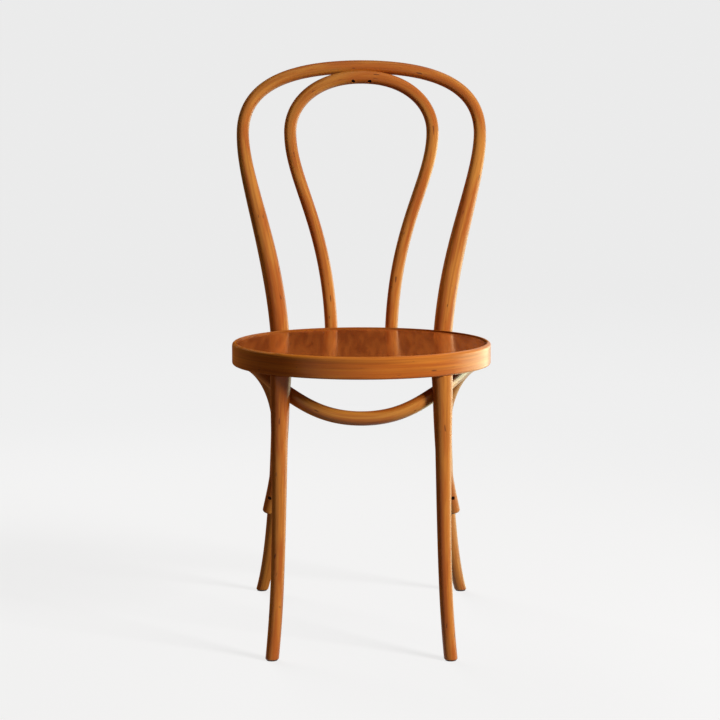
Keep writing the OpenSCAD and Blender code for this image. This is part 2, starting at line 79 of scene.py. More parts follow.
# Wood screws and the bolts of the rear legs
SCREW_SINK = 0.0008
HEAD_R, HEAD_RIM, SHAFT_R = 0.0033, 0.0006, 0.00195
SCREW_REACH, LOCK_REACH, SHOULDER_REACH = 0.034, 0.02, 0.012
LOCK_RISE = 0.010
INNER_ROD_R, INNER_SCREW_STEP = 0.0106, 0.006
CROWN_SCREW_SLOPE, CROWN_SCREW_OUT, CROWN_SCREW_BACK = 49, 0.0135, 0.0308532
BOLT_FACE, BOLT_HEAD_R, BOLT_R, BOLT_GRIP, NUT_ROOM_R = 0.2265, 0.008, 0.0032, 0.0585, 0.009
PAST = 0.012

# Shifts that give each rod its own part of the wood's pattern
OUTER_SHIFT, INNER_SHIFT, BRACE_SHIFT, RING_SHIFT = 0.11, 0.37, 0.71, 0.19
LEG_SHIFT, LEG_SHIFT_STEP = 0.53, 0.2

# Sides of the rods, of the ring and panel, and of the cutters
THICK_SIDES, THIN_SIDES = 56, 48
ROUND_SIDES = 288
NOTCH_SIDES, SADDLE_SIDES, BOLT_SIDES, SCREW_SIDES = 240, 64, 48, 32

# Edges flatter than this are shaded smooth
SMOOTH_BELOW = 38


# Places and directions
def unit(v):
    v = np.asarray(v, float)
    return v / np.linalg.norm(v)


def around(r, degrees, z):
    """A place at a distance from the seat's middle, with the angle from the back."""
    a = math.radians(degrees)
    return np.array([r * math.sin(a), r * math.cos(a), z])


def rising(degrees):
    """A direction in the middle plane, up and to the back, with its slope."""
    a = math.radians(degrees)
    return np.array([0.0, math.cos(a), math.sin(a)])


def side_of(v, s):
    """The place or direction on the right for 1, mirrored to the left for -1."""
    return np.asarray(v, float) * [s, 1, 1]


def both_sides(make):
    return [make(1), make(-1)]


# Middle lines of the bent rods: each station is place, direction, pull before it and pull after it
def station(place, direction, before, after):
    return np.asarray(place, float), unit(direction), before, after


def route(stations, steps):
    """Points along the smooth curve through the stations."""
    points = []
    for a, b, n in zip(stations, stations[1:], steps):
        c0, c1, c2, c3 = a[0], a[0] + a[3] * a[1], b[0] - b[2] * b[1], b[0]
        for t in np.arange(n) / n:
            u = 1 - t
            points.append(u**3 * c0 + 3 * u * u * t * c1 + 3 * u * t * t * c2 + t**3 * c3)
    points.append(stations[-1][0])
    return np.array(points)


def drawn_out(path, length, steps):
    """The path with a straight run after its end."""
    tail = unit(path[-1] - path[-2])
    return np.vstack([path, [path[-1] + tail * length * k / steps for k in range(1, steps + 1)]])


def cut_below(path, z):
    """The path from where it first reaches height z."""
    i = int(np.argmax(path[:, 2] > z))
    t = (z - path[i - 1, 2]) / (path[i, 2] - path[i - 1, 2])
    return np.vstack([path[i - 1] + t * (path[i] - path[i - 1]), path[i:]])


def at_height(path, z):
    """The place on a rising or falling path at height z."""
    order = np.argsort(path[:, 2])
    return np.array([np.interp(z, path[order, 2], path[order, k]) for k in (0, 1)] + [z])


def mirrored(half):
    """The whole path of a rod, from the half that ends in the middle plane."""
    return np.vstack([half, half[-2::-1] * [-1, 1, 1]])


OUTER = [
    station((0.170, 0.250, 0), (-0.29, -0.26, 1), 0, 0.117),
    station(around(OUTER_REACH, OUTER_AT, RING_MIDDLE), (0.064, 0.04, 1), 0.060, 0.155),
    station((0.1959, 0.222, OUTER_WIDEST), (0, 0.21, 1), 0.079, 0.086),
    station(CROWN_OUT, (-1, 0, 0), 0.110, 0),
]
INNER = [
    station(around(INNER_REACH, INNER_AT, RING_MIDDLE), (0.02, 0.03, 1), 0, 0.188),
    station((0.1177, 0.226, INNER_WIDEST), (0, 0.085, 1), 0.084, 0.049),
    station(CROWN_OUT - CROWN_APART * rising(CROWN_SLOPE), (-1, 0, 0), 0.073, 0),
]
LEG = [
    station(around(-LEG_REACH, -LEG_AT, RING_LOW), (4.1, -11.5, -100), 0, 0.123),
    station((0.1345, -0.209, 0), (10.4, -27, -100), 0.146, 0),
]
REAR_STEPS = 150
outer_half = route(OUTER, [REAR_STEPS, 115, 95])
rear_line = outer_half[: REAR_STEPS + 1]
inner_half = route(INNER, [115, 60])
leg_line = route(LEG, [150])

# The brace passes behind each front leg, under the ring and beside each rear leg
cross_leg = at_height(leg_line, LEG_CROSS)
cross_apart = LEG_CROSS_R + BRACE_R - LEG_SADDLE
cross_place = cross_leg + cross_apart * around(1, -LEG_TURN, 0)
shoulder = np.array([0.1783, 0.0633, RING_LOW - BRACE_R + SHOULDER_FLAT])
rear_leg = at_height(rear_line, REAR_CROSS)
rear_apart = REAR_CROSS_R + BRACE_END_R - REAR_SADDLE
rear_place = rear_leg - rear_apart * around(1, -REAR_TURN, 0)
BRACE = [
    station((0, -0.150, BRACE_LOW), (1, 0, 0), 0, 0.054),
    station(cross_place, (0.848, 0.53, 0.468), 0.0318, 0.0291),
    station(shoulder, (0.44, 0.898, 0), 0.0176, 0.046),
    station(rear_place, (0.225, 0.229, -1), 0.229, 0),
]
brace_half = drawn_out(route(BRACE, [45, 45, 110]), BRACE_TAIL, 10)


# Radii of the rods, by height or, near the crowns, by distance from the middle
def eased(table):
    """A smooth curve through the table's values, without overshoot."""
    xs, ys = (np.array(c, float) for c in zip(*table))
    h, slope = np.diff(xs), np.diff(ys) / np.diff(xs)
    m = np.zeros(len(xs))
    for i in range(1, len(xs) - 1):
        if slope[i - 1] * slope[i] > 0:
            w0, w1 = 2 * h[i] + h[i - 1], h[i] + 2 * h[i - 1]
            m[i] = (w0 + w1) / (w0 / slope[i - 1] + w1 / slope[i])
    m[0], m[-1] = slope[0], slope[-1]

    def at(x):
        x = np.clip(x, xs[0], xs[-1])
        i = np.clip(np.searchsorted(xs, x, side="right") - 1, 0, len(h) - 1)
        t = (x - xs[i]) / h[i]
        return (
            (2 * t**3 - 3 * t**2 + 1) * ys[i]
            + (t**3 - 2 * t**2 + t) * h[i] * m[i]
            + (3 * t**2 - 2 * t**3) * ys[i + 1]
            + (t**3 - t**2) * h[i] * m[i + 1]
        )

    return at


outer_low = eased([(0, 0.0098), (0.412, 0.0155), (0.516, 0.0155), (OUTER_WIDEST, 0.0101)])
outer_high = eased([(0, 0.011), (0.206, 0.0101)])
inner_low = eased([(RING_LOW, INNER_ROD_R), (INNER_WIDEST, 0.0101)])
inner_high = eased([(0, 0.011), (0.1278, 0.0101)])
leg_radius = eased([(0, 0.0102), (0.097, 0.0102), (0.311, 0.0124), (RING_LOW, 0.016)])
brace_radius = eased([(REAR_CROSS, BRACE_END_R), (BRACE_LOW, BRACE_R)])


# Meshes
def new_object(name, data):
    obj = bpy.data.objects.new(name, data)
    bpy.context.scene.collection.objects.link(obj)
    return obj


def solid_object(name, verts, faces):
    """A closed mesh with all its faces turned outwards."""
    mesh = bpy.data.meshes.new(name)
    mesh.from_pydata(verts, [], faces)
    bm = bmesh.new()
    bm.from_mesh(mesh)
    bmesh.ops.recalc_face_normals(bm, faces=bm.faces)
    bm.to_mesh(mesh)
    bm.free()
    return new_object(name, mesh)


def lengths(path):
    return np.concatenate([[0], np.cumsum(np.linalg.norm(np.diff(path, axis=0), axis=1))])


def frames(path):
    """Directions along a path, and two square directions carried along it without twist."""
    d = np.zeros_like(path)
    d[1:-1] = path[2:] - path[:-2]
    d[0], d[-1] = path[1] - path[0], path[-1] - path[-2]
    d /= np.linalg.norm(d, axis=1)[:, None]
    n = np.zeros_like(path)
    side = np.array([0, 1, 0.3])
    for i in range(len(path)):
        side = unit(side - np.dot(side, d[i]) * d[i])
        n[i] = side
    return d, n, np.cross(d, n)


def rod(name, path, radii, sides, rim=HOOP_RIM, level=True):
    """A round rod with soft rims, whose ends are cut level with the floor, or else square across it."""
    s = lengths(path)
    total = s[-1]
    extra = rim * (1 - np.cos(np.linspace(0, math.pi / 2, 7)))
    inner = s[(s > rim * 1.2) & (s < total - rim * 1.2)]
    stops = np.sort(np.concatenate([extra, inner, total - extra]))
    path = np.stack([np.interp(stops, s, path[:, k]) for k in range(3)], axis=1)
    d, n, b = frames(path)
    gap = np.minimum(stops, total - stops)
    inset = np.where(gap < rim, rim - np.sqrt(np.clip(rim**2 - (rim - gap) ** 2, 0, None)), 0)
    radii = np.interp(stops, s, radii) - inset
    a = np.arange(sides) * 2 * math.pi / sides
    spokes = np.cos(a)[None, :, None] * n[:, None] + np.sin(a)[None, :, None] * b[:, None]
    off = radii[:, None, None] * spokes
    if level:
        for far in (stops, total - stops):
            w = 1 - np.clip(far / LEVEL_RUN, 0, 1)
            w = w * w * (3 - 2 * w)
            rise = np.where(w > 0, d[:, 2], 1)
            off = off - d[:, None] * (off[:, :, 2] * (w / rise)[:, None])[:, :, None]
    points = (path[:, None] + off).reshape(-1, 3)
    last = (len(path) - 1) * sides
    faces = [
        (i + j, i + (j + 1) % sides, i + sides + (j + 1) % sides, i + sides + j)
        for i in range(0, last, sides)
        for j in range(sides)
    ]
    faces.append(tuple(range(sides))[::-1])
    faces.append(tuple(last + j for j in range(sides)))
    return solid_object(name, (points + SEAT).tolist(), faces)


def rounded(corners, steps=6, hold=0.00025):
    """An outline of (x, y, radius) corners, rounded. A point beside each arc keeps the flats flat."""
    out = []
    for k, (x, y, r) in enumerate(corners):
        p = np.array([x, y])
        if r == 0:
            out.append(p)
            continue
        u = unit(np.array(corners[k - 1][:2]) - p)
        v = unit(np.array(corners[(k + 1) % len(corners)][:2]) - p)
        half = math.acos(np.clip(np.dot(u, v), -1, 1)) / 2
        reach = r / math.tan(half)
        centre = p + unit(u + v) * r / math.sin(half)
        start, end = p + u * reach - centre, p + v * reach - centre
        a0 = math.atan2(start[1], start[0])
        sweep = (math.atan2(end[1], end[0]) - a0 + math.pi) % (2 * math.pi) - math.pi
        turns = [a0 + sweep * i / steps for i in range(steps + 1)]
        out.append(p + u * (reach + hold))
        out += [centre + r * np.array([math.cos(a), math.sin(a)]) for a in turns]
        out.append(p + v * (reach + hold))
    return out


def lathe(name, outline, segments, place=(0, 0, 0), direction=(0, 0, 1), start=0.0):
    """A closed outline turned about an axis. Outline points on the axis become one vertex each."""
    turns = [start + 2 * math.pi * j / segments for j in range(segments)]
    verts, rows = [], []
    for r, z in outline:
        if abs(r) < 1e-9:
            rows.append([len(verts)] * segments)
            verts.append((0, 0, z))
        else:
            rows.append(list(range(len(verts), len(verts) + segments)))
            verts += [(r * math.sin(a), r * math.cos(a), z) for a in turns]
    faces = []
    for low, high in zip(rows, rows[1:] + rows[:1]):
        if low[0] == low[1] and high[0] == high[1]:
            continue
        for j in range(segments):
            k = (j + 1) % segments
            faces.append(tuple(dict.fromkeys((low[j], low[k], high[k], high[j]))))
    turned = Vector((0, 0, 1)).rotation_difference(Vector(direction)).to_matrix().to_4x4()
    at = Matrix.Translation(Vector(np.asarray(place, float) + SEAT)) @ turned
    return solid_object(name, [tuple(at @ Vector(v)) for v in verts], faces)


def slab(name, low, high):
    """A box between two corners."""
    xs, ys, zs = zip(np.add(low, SEAT).tolist(), np.add(high, SEAT).tolist())
    corners = [(x, y, z) for x in xs for y in ys for z in zs]
    faces = [(0, 1, 3, 2), (4, 6, 7, 5), (0, 4, 5, 1), (2, 3, 7, 6), (0, 2, 6, 4), (1, 5, 7, 3)]
    return solid_object(name, corners, faces)


def carve(obj, cutters):
    """Cuts the cutters out of the object's mesh and removes them."""
    for cutter in cutters:
        mod = obj.modifiers.new("cut", "BOOLEAN")
        mod.operation, mod.solver, mod.object = "DIFFERENCE", "EXACT", cutter
    graph = bpy.context.evaluated_depsgraph_get()
    mesh = bpy.data.meshes.new_from_object(obj.evaluated_get(graph))
    obj.modifiers.clear()
    old, obj.data = obj.data, mesh
    bpy.data.meshes.remove(old)
    for cutter in cutters:
        data = cutter.data
        bpy.data.objects.remove(cutter)
        bpy.data.meshes.remove(data)


# Cutters for the notches, saddles, bores and recesses
def ring_cutter():
    """The ring's whole section, a clearance larger, for the notches in the hoops."""
    corners = [
        (RING_IN_R - FIT, RING_LOW - FIT, LOW_EDGE),
        (RING_R + FIT, RING_LOW - FIT, LOW_EDGE),
        (RING_R + FIT, RING_TOP + FIT, TOP_EDGE),
        (RING_IN_R - FIT, RING_TOP + FIT, TOP_EDGE),
    ]
    return lathe("cutter", rounded(corners), NOTCH_SIDES)


def crown_cutter():
    """The outer hoop's crown, for the saddle in the inner hoop."""
    bow = mirrored(outer_half[outer_half[:, 0] < CROWN_BOW])
    return rod("cutter", bow, outer_high(np.abs(bow[:, 0])) + FIT, THICK_SIDES, level=False)


def leg_cutter(line, radius, s, z0, z1):
    """A cone that stands for a leg, for the saddle in the brace."""
    a, b = side_of(at_height(line, z0), s), side_of(at_height(line, z1), s)
    length = np.linalg.norm(b - a)
    outline = [(0, 0), (float(radius(z0)) + FIT, 0), (float(radius(z1)) + FIT, length), (0, length)]
    return lathe("cutter", outline, SADDLE_SIDES, a, unit(b - a))


def bolt_cutter(s):
    """Room for a bolt's head, shank and nut, from the back towards the seat's middle."""
    outline = [
        (0, -PAST),
        (BOLT_HEAD_R, -PAST),
        (BOLT_HEAD_R, 0),
        (BOLT_R, 0),
        (BOLT_R, BOLT_GRIP),
        (NUT_ROOM_R, BOLT_GRIP),
        (NUT_ROOM_R, BOLT_GRIP + PAST),
        (0, BOLT_GRIP + PAST),
    ]
    place = side_of(around(BOLT_FACE, OUTER_AT, BOLT_LEVEL), s)
    return lathe("cutter", outline, BOLT_SIDES, place, side_of(around(-1, OUTER_AT, 0), s))


def recesses(axis, reach=SCREW_REACH):
    """Countersunk holes on both sides for a screw, whose axis is the place of its head and a direction."""
    outline = [
        (0, -PAST),
        (HEAD_R, -PAST),
        (HEAD_R, HEAD_RIM),
        (SHAFT_R, HEAD_RIM + HEAD_R - SHAFT_R),
        (SHAFT_R, reach),
        (0, reach),
    ]
    place, direction = axis
    return both_sides(
        lambda s: lathe("cutter", outline, SCREW_SIDES, side_of(place, s), side_of(direction, s))
    )


UP = np.array([0, 0, 1.0])
crown_dir = rising(CROWN_SCREW_SLOPE)
crown_axis = (CROWN_OUT + [CROWN_SCREW_OUT, 0, 0] - CROWN_SCREW_BACK * crown_dir, crown_dir)
cross_dir = unit(cross_leg - cross_place)
cross_axis = (cross_place - (BRACE_R - SCREW_SINK) * cross_dir, cross_dir)
rear_dir = unit(rear_leg - rear_place)
rear_axis = (rear_place - (BRACE_END_R - SCREW_SINK) * rear_dir, rear_dir)
shoulder_axis = (shoulder - (BRACE_R - SCREW_SINK) * UP, UP)
lock_axis = (around(-RING_IN_R - SCREW_SINK, -LEG_AT, RING_LOW + LOCK_RISE), around(-1, -LEG_AT, 0))
inner_head = INNER_REACH + INNER_ROD_R - SCREW_SINK
inner_axes = [
    (around(inner_head, INNER_AT, BOLT_LEVEL + step), around(-1, INNER_AT, 0))
    for step in (-INNER_SCREW_STEP, INNER_SCREW_STEP)
]


# Stored directions of the fibres, and smooth shading
def grain_along(obj, path, shift):
    """Stores for each vertex its place across and along the rod's fibres."""
    d, n, b = frames(path)
    s = lengths(path)
    mesh = obj.data
    co = np.empty(len(mesh.vertices) * 3)
    mesh.vertices.foreach_get("co", co)
    co = co.reshape(-1, 3) - SEAT
    parts = np.array_split(co, max(1, len(co) // 2000))
    near = np.concatenate([np.argmin(((p[:, None] - path[None]) ** 2).sum(2), axis=1) for p in parts])
    away = co - path[near]
    across, up = (away * n[near]).sum(1), (away * b[near]).sum(1)
    along = s[near] + (away * d[near]).sum(1)
    values = np.stack([across + shift, up - shift, along + 3 * shift], axis=1)
    layer = mesh.attributes.new("grain", "FLOAT_VECTOR", "POINT")
    layer.data.foreach_set("vector", values.ravel())


def grain_round(obj, shift):
    """Stores the same for fibres that run round the ring, with a joint at the back."""
    mesh = obj.data
    values = []
    for poly in mesh.polygons:
        centre = Vector(poly.center) - Vector(SEAT)
        middle = math.atan2(centre.x, -centre.y)
        for v in poly.vertices:
            p = Vector(mesh.vertices[v].co) - Vector(SEAT)
            a = math.atan2(p.x, -p.y)
            a += round((middle - a) / (2 * math.pi)) * 2 * math.pi
            values += [math.hypot(p.x, p.y) + shift, p.z - shift, a * RING_R + 3 * shift]
    layer = mesh.attributes.new("grain", "FLOAT_VECTOR", "CORNER")
    layer.data.foreach_set("vector", values)


def shade(obj):
    obj.data.shade_smooth()
    obj.data.set_sharp_from_angle(angle=math.radians(SMOOTH_BELOW))


# Nodes for the materials
def linear(r, g, b):
    """A colour written as it shows, from 0 to 255, in the shader's own numbers."""
    return tuple(((c / 255 + 0.055) / 1.055) ** 2.4 if c > 10 else c / 255 / 12.92 for c in (r, g, b))


def grey(value):
    return (value, value, value)


def scaled(colour, factor):
    return tuple(c * factor for c in colour)


class Tree:
    """A material with one shader, and short calls for the nodes that feed it."""

    def __init__(self, name):
        self.mat = bpy.data.materials.new(name)
        self.mat.use_nodes = True
        self.nodes, self.links = self.mat.node_tree.nodes, self.mat.node_tree.links
        self.nodes.clear()
        self.out = self.nodes.new("ShaderNodeOutputMaterial")
        self.shader = self.nodes.new("ShaderNodeBsdfPrincipled")
        self.link(self.shader.outputs[0], self.out.inputs["Surface"])

    def link(self, a, b):
        self.links.new(a, b)

    def feed(self, value, socket):
        """Sets a number or a colour on a socket, or links what comes out of a node."""
        if isinstance(value, (int, float)):
            socket.default_value = value
        elif isinstance(value, tuple):
            socket.default_value = (*value, 1)
        else:
            self.link(value, socket)

    def set(self, name, value):
        self.feed(value, self.shader.inputs[name])

    def squeezed(self, vector, scale):
        mapping = self.nodes.new("ShaderNodeMapping")
        mapping.inputs["Scale"].default_value = scale
        self.link(vector, mapping.inputs["Vector"])
        return mapping.outputs[0]

    def grain(self, stretch=1):
        """The stored place across and along the fibres, so that a pattern is stretched along them."""
        source = self.nodes.new("ShaderNodeAttribute")
        source.attribute_name = "grain"
        return self.squeezed(source.outputs["Vector"], (1, 1, 1 / stretch))

    def place(self, stretch=1):
        """The place in the object, so that a pattern is stretched from front to back."""
        source = self.nodes.new("ShaderNodeTexCoord")
        return self.squeezed(source.outputs["Object"], (1, 1 / stretch, 1))

    def parts(self, vector):
        node = self.nodes.new("ShaderNodeSeparateXYZ")
        self.link(vector, node.inputs[0])
        return node.outputs

    def noise(self, vector, scale, detail=3.0, rough=0.55, distortion=0.0):
        node = self.nodes.new("ShaderNodeTexNoise")
        node.inputs["Scale"].default_value = scale
        node.inputs["Detail"].default_value = detail
        node.inputs["Roughness"].default_value = rough
        node.inputs["Distortion"].default_value = distortion
        self.link(vector, node.inputs["Vector"])
        return node.outputs["Fac"]

    def spread(self, value, low, high, to_low=0.0, to_high=1.0):
        """A smooth step from to_low, where the value is low, to to_high, where it is high."""
        node = self.nodes.new("ShaderNodeMapRange")
        node.interpolation_type = "SMOOTHSTEP"
        node.inputs["From Min"].default_value = low
        node.inputs["From Max"].default_value = high
        node.inputs["To Min"].default_value = to_low
        node.inputs["To Max"].default_value = to_high
        self.link(value, node.inputs["Value"])
        return node.outputs["Result"]

    def mix(self, fac, a, b):
        node = self.nodes.new("ShaderNodeMix")
        node.data_type = "RGBA"
        for value, socket in ((fac, node.inputs[0]), (a, node.inputs[6]), (b, node.inputs[7])):
            self.feed(value, socket)
        return node.outputs[2]

    def maths(self, kind, a, b):
        node = self.nodes.new("ShaderNodeMath")
        node.operation = kind
        self.feed(a, node.inputs[0])
        self.feed(b, node.inputs[1])
        return node.outputs[0]

    def bump(self, height, strength, distance):
        node = self.nodes.new("ShaderNodeBump")
        node.inputs["Strength"].default_value = strength
        node.inputs["Distance"].default_value = distance
        self.link(height, node.inputs["Height"])
        self.link(node.outputs[0], self.shader.inputs["Normal"])


# Materials
def wood(name, light, mid, dark, streaks, patch=8, lip=None):
    """Stained and varnished beech: broad tone, soft streaks, fibres, pores, rare flecks and slight relief.

    streaks is their strength, patch the length of the broad tone's patches over their width, and lip the
    stored place of the ring's lip, within which painted shade darkens the rebate's wall."""
    t = Tree(name)
    tone = t.noise(t.grain(patch), scale=60, distortion=0.3)
    streak = t.noise(t.grain(40), scale=260, distortion=0.1)
    fibre = t.noise(t.grain(40), scale=1300, detail=2.0, rough=0.6)
    pore = t.noise(t.grain(8), scale=500, detail=1.0, rough=0.5)
    fleck = t.noise(t.grain(4), scale=260, detail=0.0)
    pores = t.spread(pore, 0.68, 0.76, to_high=0.15)
    colour = t.mix(t.spread(tone, 0.38, 0.6), mid, light)
    colour = t.mix(t.spread(streak, 0.42, 0.68, to_high=streaks), colour, dark)
    colour = t.mix(t.spread(fibre, 0.35, 0.75, to_high=0.12), colour, dark)
    colour = t.mix(pores, colour, scaled(dark, 0.35))
    colour = t.mix(t.spread(fleck, 0.8, 0.84, to_high=0.7), colour, scaled(dark, 0.35))
    # Painted shade: the colour of the rebate's wall within the ring's lip is darkened
    if lip is not None:
        across = t.parts(t.grain())[0]
        lip_shade = t.spread(across, lip + 0.0001, lip + 0.0012, to_low=0.5, to_high=0.0)
        colour = t.mix(lip_shade, colour, scaled(dark, 0.4))
    t.set("Base Color", colour)
    t.set("Roughness", t.spread(streak, 0.3, 0.7, to_low=0.28, to_high=0.38))
    t.set("Specular IOR Level", 0.3)
    t.bump(t.maths("SUBTRACT", t.maths("MULTIPLY", fibre, 0.6), pores), strength=0.15, distance=0.0002)
    return t.mat


def pressed(name, light, mid, dark):
    """The pressed seat panel: veneer with its fibres from front to back, under a gloss varnish."""
    t = Tree(name)
    cloud = t.noise(t.place(14), scale=75, detail=2.0, rough=0.5, distortion=0.1)
    streak = t.noise(t.place(30), scale=190, rough=0.6)
    dash = t.noise(t.place(5), scale=150, detail=1.5, rough=0.5)
    colour = t.mix(t.spread(cloud, 0.36, 0.64), mid, light)
    colour = t.mix(t.spread(streak, 0.42, 0.68, to_high=0.35), colour, dark)
    colour = t.mix(t.spread(dash, 0.64, 0.76, to_high=0.4), colour, scaled(dark, 0.5))
    t.set("Base Color", colour)
    t.set("Roughness", t.spread(streak, 0.3, 0.7, to_low=0.17, to_high=0.24))
    t.set("Specular IOR Level", 0.4)
    t.bump(streak, strength=0.05, distance=0.0001)
    return t.mat


def metal(name, colour, rough):
    """Plain fastener steel with faint stains and scuffs."""
    t = Tree(name)
    scuff = t.noise(t.place(), scale=900, rough=0.6)
    stain = t.noise(t.place(), scale=260, detail=2.0, rough=0.5)
    t.set("Base Color", t.mix(t.spread(stain, 0.35, 0.7, to_high=0.5), colour, scaled(colour, 0.55)))
    t.set("Roughness", t.spread(scuff, 0.3, 0.7, to_low=rough * 0.8, to_high=rough * 1.25))
    t.set("Metallic", 1.0)
    t.bump(scuff, strength=0.2, distance=0.00005)
    return t.mat


def plastic(name, colour):
    """Matt dark plastic with a fine speckle."""
    t = Tree(name)
    speck = t.noise(t.place(), scale=1400, detail=2.0, rough=0.5)
    t.set("Base Color", t.mix(t.spread(speck, 0.3, 0.7, to_high=0.35), colour, scaled(colour, 1.6)))
    t.set("Roughness", 0.55)
    t.bump(speck, strength=0.15, distance=0.00005)
    return t.mat


hoop_wood = wood("hoop_wood", linear(205, 133, 54), linear(185, 101, 34), linear(134, 57, 20), streaks=0.38)
ring_wood = wood(
    "ring_wood",
    linear(209, 123, 38),
    linear(194, 102, 26),
    linear(128, 53, 14),
    streaks=0.4,
    patch=24,
    lip=LIP_R + RING_SHIFT,
)
leg_wood = wood("leg_wood", linear(204, 125, 46), linear(182, 95, 29), linear(132, 56, 16), streaks=0.38)
panel_wood = pressed("panel_wood", linear(192, 98, 38), linear(164, 77, 28), linear(112, 49, 18))
# The screws' dark brown is partly their own dark finish and partly painted shade of their sunk recesses
dark_screw = metal("dark_screw", linear(48, 26, 18), 0.55)
zinc_steel = metal("zinc_steel", linear(190, 190, 192), 0.36)
glide_plastic = plastic("glide_plastic", linear(52, 38, 30))


def dress(obj, material, slot, *nodes):
    """Gives a finished piece its material and its body, and hides the solids that it stands for. The slot is
    not used.
    """
    shade(obj)
    obj.data.materials.clear()
    obj.data.materials.append(material)
    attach(obj, "root")
    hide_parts(*nodes)


# Pieces of the chair
def outer_hoop():
    """The rear legs and the outer bow of the back, in one rod."""
    path = mirrored(cut_below(outer_half, FLOOR_GAP))
    radii = np.where(path[:, 2] < OUTER_WIDEST, outer_low(path[:, 2]), outer_high(np.abs(path[:, 0])))
    hoop = rod("hoop_outer", path, radii, THICK_SIDES)
    carve(hoop, [ring_cutter()] + both_sides(bolt_cutter))
    grain_along(hoop, path, OUTER_SHIFT)
    dress(hoop, hoop_wood, "hoop_wood", "outer_hoop")


def inner_hoop():
    """The inner bow, whose ends run down to the ring's underside."""
    path = mirrored(cut_below(drawn_out(inner_half[::-1], INNER_TAIL, 6)[::-1], RING_LOW))
    radii = np.where(path[:, 2] < INNER_WIDEST, inner_low(path[:, 2]), inner_high(np.abs(path[:, 0])))
    hoop = rod("hoop_inner", path, radii, THIN_SIDES)
    screws = recesses(crown_axis) + recesses(inner_axes[0]) + recesses(inner_axes[1])
    carve(hoop, [ring_cutter(), crown_cutter()] + screws)
    grain_along(hoop, path, INNER_SHIFT)
    dress(hoop, hoop_wood, "hoop_wood", "inner_hoop")


def front_leg(name, side):
    path = cut_below(leg_line[::-1], FLOOR_GAP) * [side, 1, 1]
    leg = rod("leg_front_" + name, path, leg_radius(path[:, 2]), THICK_SIDES, rim=LEG_RIM)
    grain_along(leg, path, LEG_SHIFT + LEG_SHIFT_STEP * side)
    dress(leg, leg_wood, "leg_wood", "front_leg_" + name)


def leg_brace():
    """The brace, saddled for the four legs and flat where it bears on the ring."""
    path = mirrored(brace_half[::-1])
    brace = rod("brace", path, brace_radius(path[:, 2]), THIN_SIDES, rim=BRACE_RIM, level=False)
    saddles = both_sides(lambda s: leg_cutter(leg_line, leg_radius, s, LEG_SADDLE_LOW, RING_LOW))
    saddles += both_sides(lambda s: leg_cutter(rear_line, outer_low, s, REAR_SADDLE_LOW, REAR_SADDLE_TOP))
    flat = slab("cutter", (-0.25, -0.25, RING_LOW), (0.25, 0.25, RING_LOW + 0.02))
    screws = recesses(cross_axis) + recesses(rear_axis) + recesses(shoulder_axis, SHOULDER_REACH)
    carve(brace, saddles + [flat] + screws)
    grain_along(brace, path, BRACE_SHIFT)
    dress(brace, hoop_wood, "hoop_wood", "leg_brace")


def seat_ring():
    """The ring, rebated for the panel."""
    corners = [
        (RING_IN_R, RING_LOW, LOW_EDGE),
        (RING_R, RING_LOW, LOW_EDGE),
        (RING_R, RING_TOP, TOP_EDGE),
        (LIP_R, RING_TOP, LIP_EDGE),
        (LIP_R, RING_LEDGE, STEP_EDGE),
        (RING_IN_R, RING_LEDGE, LEDGE_EDGE),
    ]
    ring = lathe("ring", rounded(corners, 8), ROUND_SIDES, start=math.pi / ROUND_SIDES)
    carve(ring, both_sides(bolt_cutter) + recesses(lock_axis, LOCK_REACH))
    grain_round(ring, RING_SHIFT)
    dress(ring, ring_wood, "ring_wood", "seat_ring")


def seat_panel():
    corners = [
        (0, RING_LEDGE, 0),
        (PANEL_R, RING_LEDGE, 0),
        (PANEL_R, PANEL_TOP, PANEL_EDGE),
        (0, PANEL_TOP, 0),
    ]
    panel = lathe("panel", rounded(corners), ROUND_SIDES)
    dress(panel, panel_wood, "panel_wood", "seat_panel")


def finish_solids(material, *nodes):
    """Fasteners and glides keep their solids and get a finished material."""
    for node in nodes:
        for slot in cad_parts[node].material_slots:
            slot.material = material


outer_hoop()
inner_hoop()
front_leg("left", -1)
front_leg("right", 1)
leg_brace()
seat_ring()
seat_panel()
finish_solids(dark_screw, "crown_screws", "inner_hoop_screws", "leg_lock_screws")
finish_solids(dark_screw, "brace_front_screws", "brace_ring_screws", "brace_rear_screws")
finish_solids(zinc_steel, "rear_leg_bolts", "rear_leg_washers", "rear_leg_nuts", "glide_nails")
finish_solids(glide_plastic, "glide_front_left", "glide_front_right", "glide_rear_left", "glide_rear_right")

# Studio: tones of backdrop and floor and where they fade, the lamps' aim, the fill, the cards and the camera,
# whose pitch is in radians
BACKDROP, FLOOR_FAR = 0.832, 0.865
FLOOR_GLOW, FLOOR_MATT = 0.75, 0.16
NEAR_FADE, FAR_FADE = (0.8, 2.4), (2.0, 6.0)
FLOOR_R, FLOOR_SIDES = 40, 96
AIM = (0, 0, 0.45)
FILL_COLOUR, FILL_STRENGTH = (1, 0.8, 0.62), 0.12
CARD_BLACK, CARD_FADE, CARD_STEPS = 0.006, (0.48, 0.57), 50
CAMERA_AT, CAMERA_DOWN = (-0.0022, -3.4523, 0.863), 0.126
LENS_MM, SENSOR_MM = 110, 36


def shown_rays(tree):
    """1 for rays that show the surface itself: to the camera, in gloss and through glass."""
    path = tree.nodes.new("ShaderNodeLightPath")
    total = path.outputs["Is Camera Ray"]
    for name in ("Is Glossy Ray", "Is Transmission Ray"):
        node = tree.nodes.new("ShaderNodeMath")
        node.operation = "MAXIMUM"
        tree.links.new(total, node.inputs[0])
        tree.links.new(path.outputs[name], node.inputs[1])
        total = node.outputs[0]
    return total


